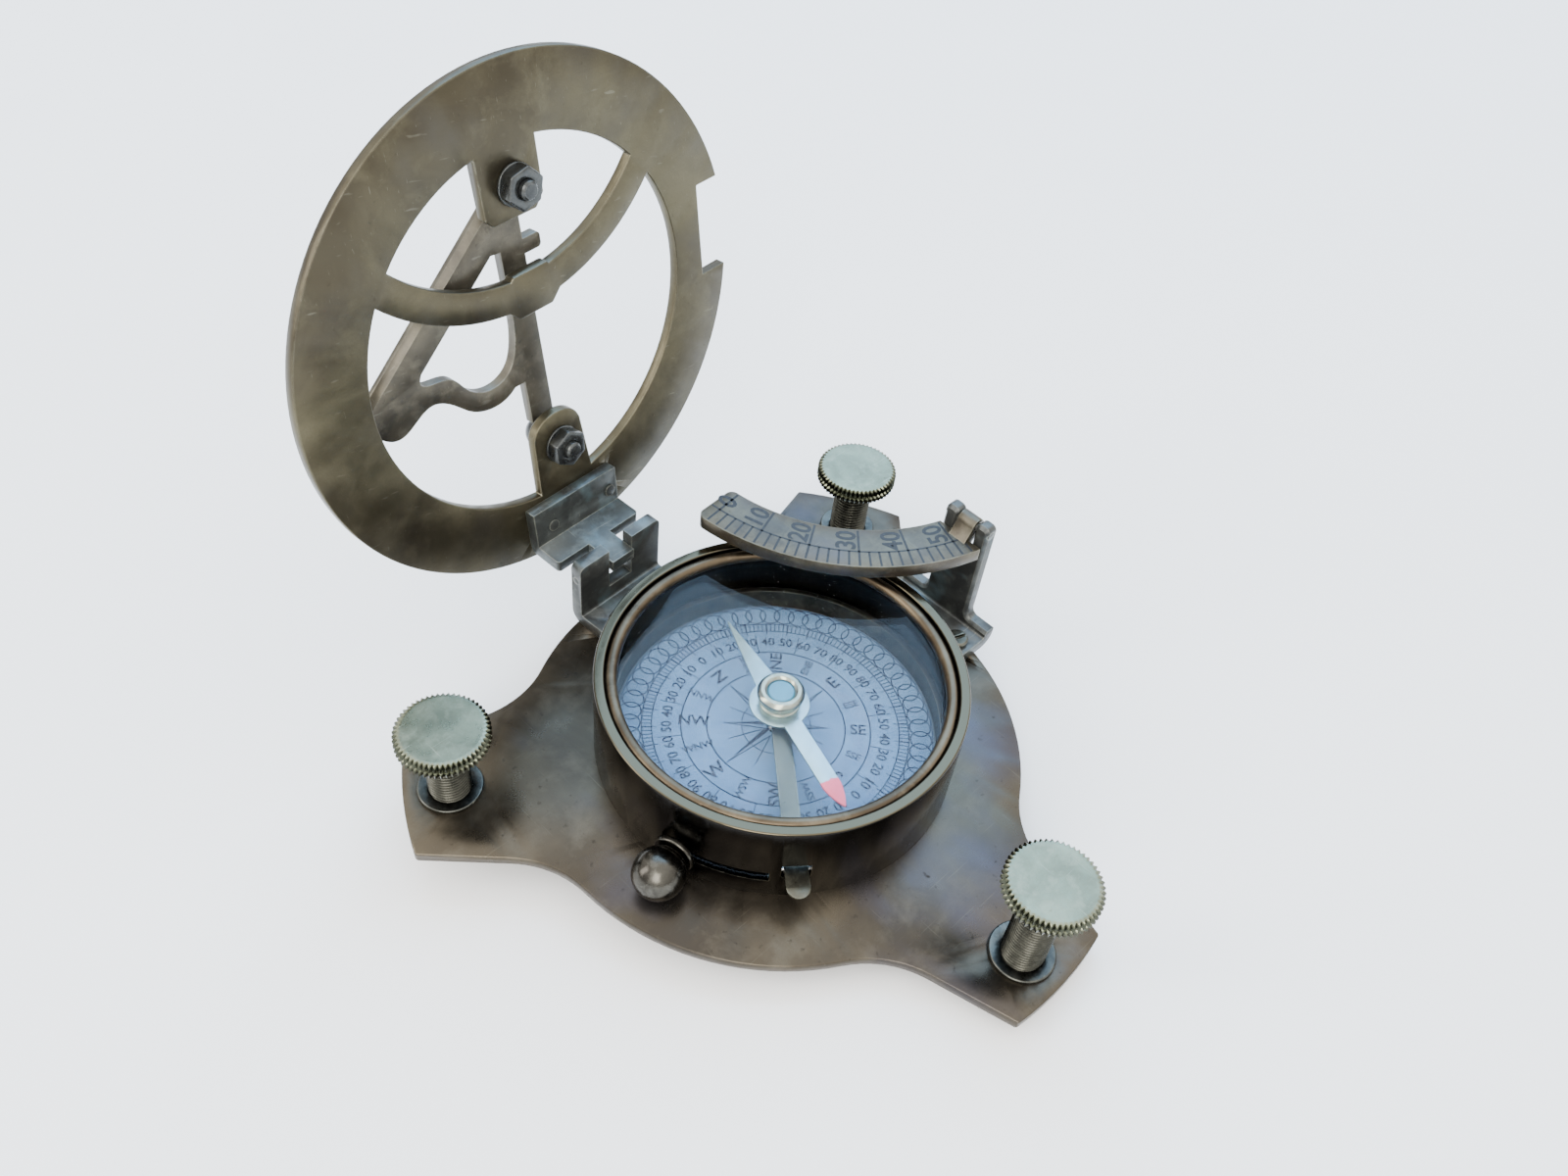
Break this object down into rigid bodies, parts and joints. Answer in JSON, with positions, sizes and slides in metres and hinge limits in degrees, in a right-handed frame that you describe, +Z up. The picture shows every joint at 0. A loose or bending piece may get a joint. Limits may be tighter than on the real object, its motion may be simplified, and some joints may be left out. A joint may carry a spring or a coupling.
{
  "type": "sundial compass",
  "caption": "Folding sundial compass: a glazed drum on a base plate with levelling screws, a hinged hour ring with a gnomon, and a folding engraved latitude arc.",
  "frame": {"origin": "middle of the whole instrument in plan, at the tip of its lowest foot, with the ring open as in the picture", "axes": "+Z up along the compass axis, +Y towards the hour ring hinge, +X towards the latitude bracket"},
  "size_m": [0.0984, 0.112, 0.0885],
  "materials": {
    "plate_brass": "aged bronze-brown patina, satin",
    "bush_brass": "aged, satin",
    "screw_brass": "pale greenish brass, scratched",
    "case_brass": "dark oiled patina, semi-gloss",
    "bezel_brass": "golden brown, satin",
    "glass": "clear, polished",
    "tray_brass": "aged, satin",
    "card_paper": "printed, matt",
    "knob_bronze": "dark polished bronze",
    "pivot_steel": "turned",
    "needle_steel": "bright, one tip painted red",
    "cap_brass": "bright turned",
    "jewel_glass": "blue, polished",
    "lever_brass": "grey-green, satin",
    "hinge_brass": "dark grey patina, brushed",
    "ring_brass": "olive-brown patina, brushed, bright worn edges",
    "nut_steel": "dark zinc",
    "gnomon_brass": "dark patina, satin",
    "arc_brass": "olive brass, black-filled engraving",
    "fixing_brass": "aged, slotted"
  },
  "bodies": {
    "base": {"base_plate": "plate_brass", "screw_bushes": "bush_brass", "compass_case": "case_brass", "case_screws": "fixing_brass", "bezel_ring": "bezel_brass", "glass": "glass", "needle_pivot": "pivot_steel", "fulcrum_pin": "pivot_steel", "hinge_bracket": "hinge_brass", "hinge_pin": "hinge_brass", "hinge_screws": "fixing_brass", "latitude_bracket": "hinge_brass", "latitude_screws": "fixing_brass", "latitude_pin": "hinge_brass"},
    "ring": {"hour_ring": "ring_brass", "hinge_leaf": "hinge_brass", "leaf_rivets": "hinge_brass", "eye_posts": "gnomon_brass", "post_washers": "nut_steel", "post_nuts": "nut_steel"},
    "gnomon": {"gnomon": "gnomon_brass"},
    "arc": {"latitude_arc": "arc_brass"},
    "needle": {"needle_blade": "needle_steel", "needle_cap": "cap_brass", "needle_jewel": "jewel_glass"},
    "lifter": {"needle_lifter": "lever_brass"},
    "card": {"card_tray": "tray_brass", "compass_card": "card_paper", "knob_stem": "knob_bronze", "ball_knob": "knob_bronze"},
    "rod_1": {"levelling_rod_1": "screw_brass"},
    "head_1": {"levelling_head_1": "screw_brass"},
    "rod_2": {"levelling_rod_2": "screw_brass"},
    "head_2": {"levelling_head_2": "screw_brass"},
    "rod_3": {"levelling_rod_3": "screw_brass"},
    "head_3": {"levelling_head_3": "screw_brass"}
  },
  "joints": [
    {"name": "ring_hinge", "type": "hinge", "parent": "base", "child": "ring", "pos_m": [0.00052, 0.03231, 0.0176], "axis": [0.9982, 0.0593, 0], "range_deg": [0, 97.4]},
    {"name": "gnomon_fold", "type": "hinge", "parent": "ring", "child": "gnomon", "pos_m": [-0.00117, 0.05081, 0.05109], "axis": [0.0425, -0.1264, -0.9911], "range_deg": [0, 90]},
    {"name": "latitude_arc_fold", "type": "hinge", "parent": "base", "child": "arc", "pos_m": [0.03802, -0.00429, 0.0291], "axis": [0, 1, 0], "range_deg": [0, 90]},
    {"name": "needle_spin", "type": "hinge", "parent": "base", "child": "needle", "pos_m": [0.00032, -0.00359, 0.0158], "axis": [0, 0, 1], "continuous": true},
    {"name": "needle_lift", "type": "hinge", "parent": "base", "child": "lifter", "pos_m": [-0.01574, -0.02307, 0.01405], "axis": [0.7716, -0.6361, 0], "range_deg": [0, 2]},
    {"name": "card_turn", "type": "hinge", "parent": "base", "child": "card", "pos_m": [0.00032, -0.00359, 0.00985], "axis": [0, 0, 1], "range_deg": [0, 26]},
    {"name": "screw_travel_1", "type": "slide", "parent": "base", "child": "rod_1", "axis": [0, 0, 1], "range_m": [-0.009, 0.0054]},
    {"name": "screw_turn_1", "type": "hinge", "parent": "rod_1", "child": "head_1", "pos_m": [-0.03952, 0.01941, 0.019], "axis": [0, 0, 1], "range_deg": [-5405, 3245]},
    {"name": "screw_travel_2", "type": "slide", "parent": "base", "child": "rod_2", "axis": [0, 0, 1], "range_m": [-0.0138, 0.0006]},
    {"name": "screw_turn_2", "type": "hinge", "parent": "rod_2", "child": "head_2", "pos_m": [0.00032, -0.04959, 0.0237], "axis": [0, 0, 1], "range_deg": [-8285, 365]},
    {"name": "screw_travel_3", "type": "slide", "parent": "base", "child": "rod_3", "axis": [0, 0, 1], "range_m": [-0.0096, 0.0048]},
    {"name": "screw_turn_3", "type": "hinge", "parent": "rod_3", "child": "head_3", "pos_m": [0.04015, 0.01941, 0.0194], "axis": [0, 0, 1], "range_deg": [-5765, 2885]}
  ],
  "couplings": [
    {"joint": "screw_turn_1", "follows": "screw_travel_1", "rad_per_m": 10472},
    {"joint": "screw_turn_2", "follows": "screw_travel_2", "rad_per_m": 10472},
    {"joint": "screw_turn_3", "follows": "screw_travel_3", "rad_per_m": 10472}
  ]
}
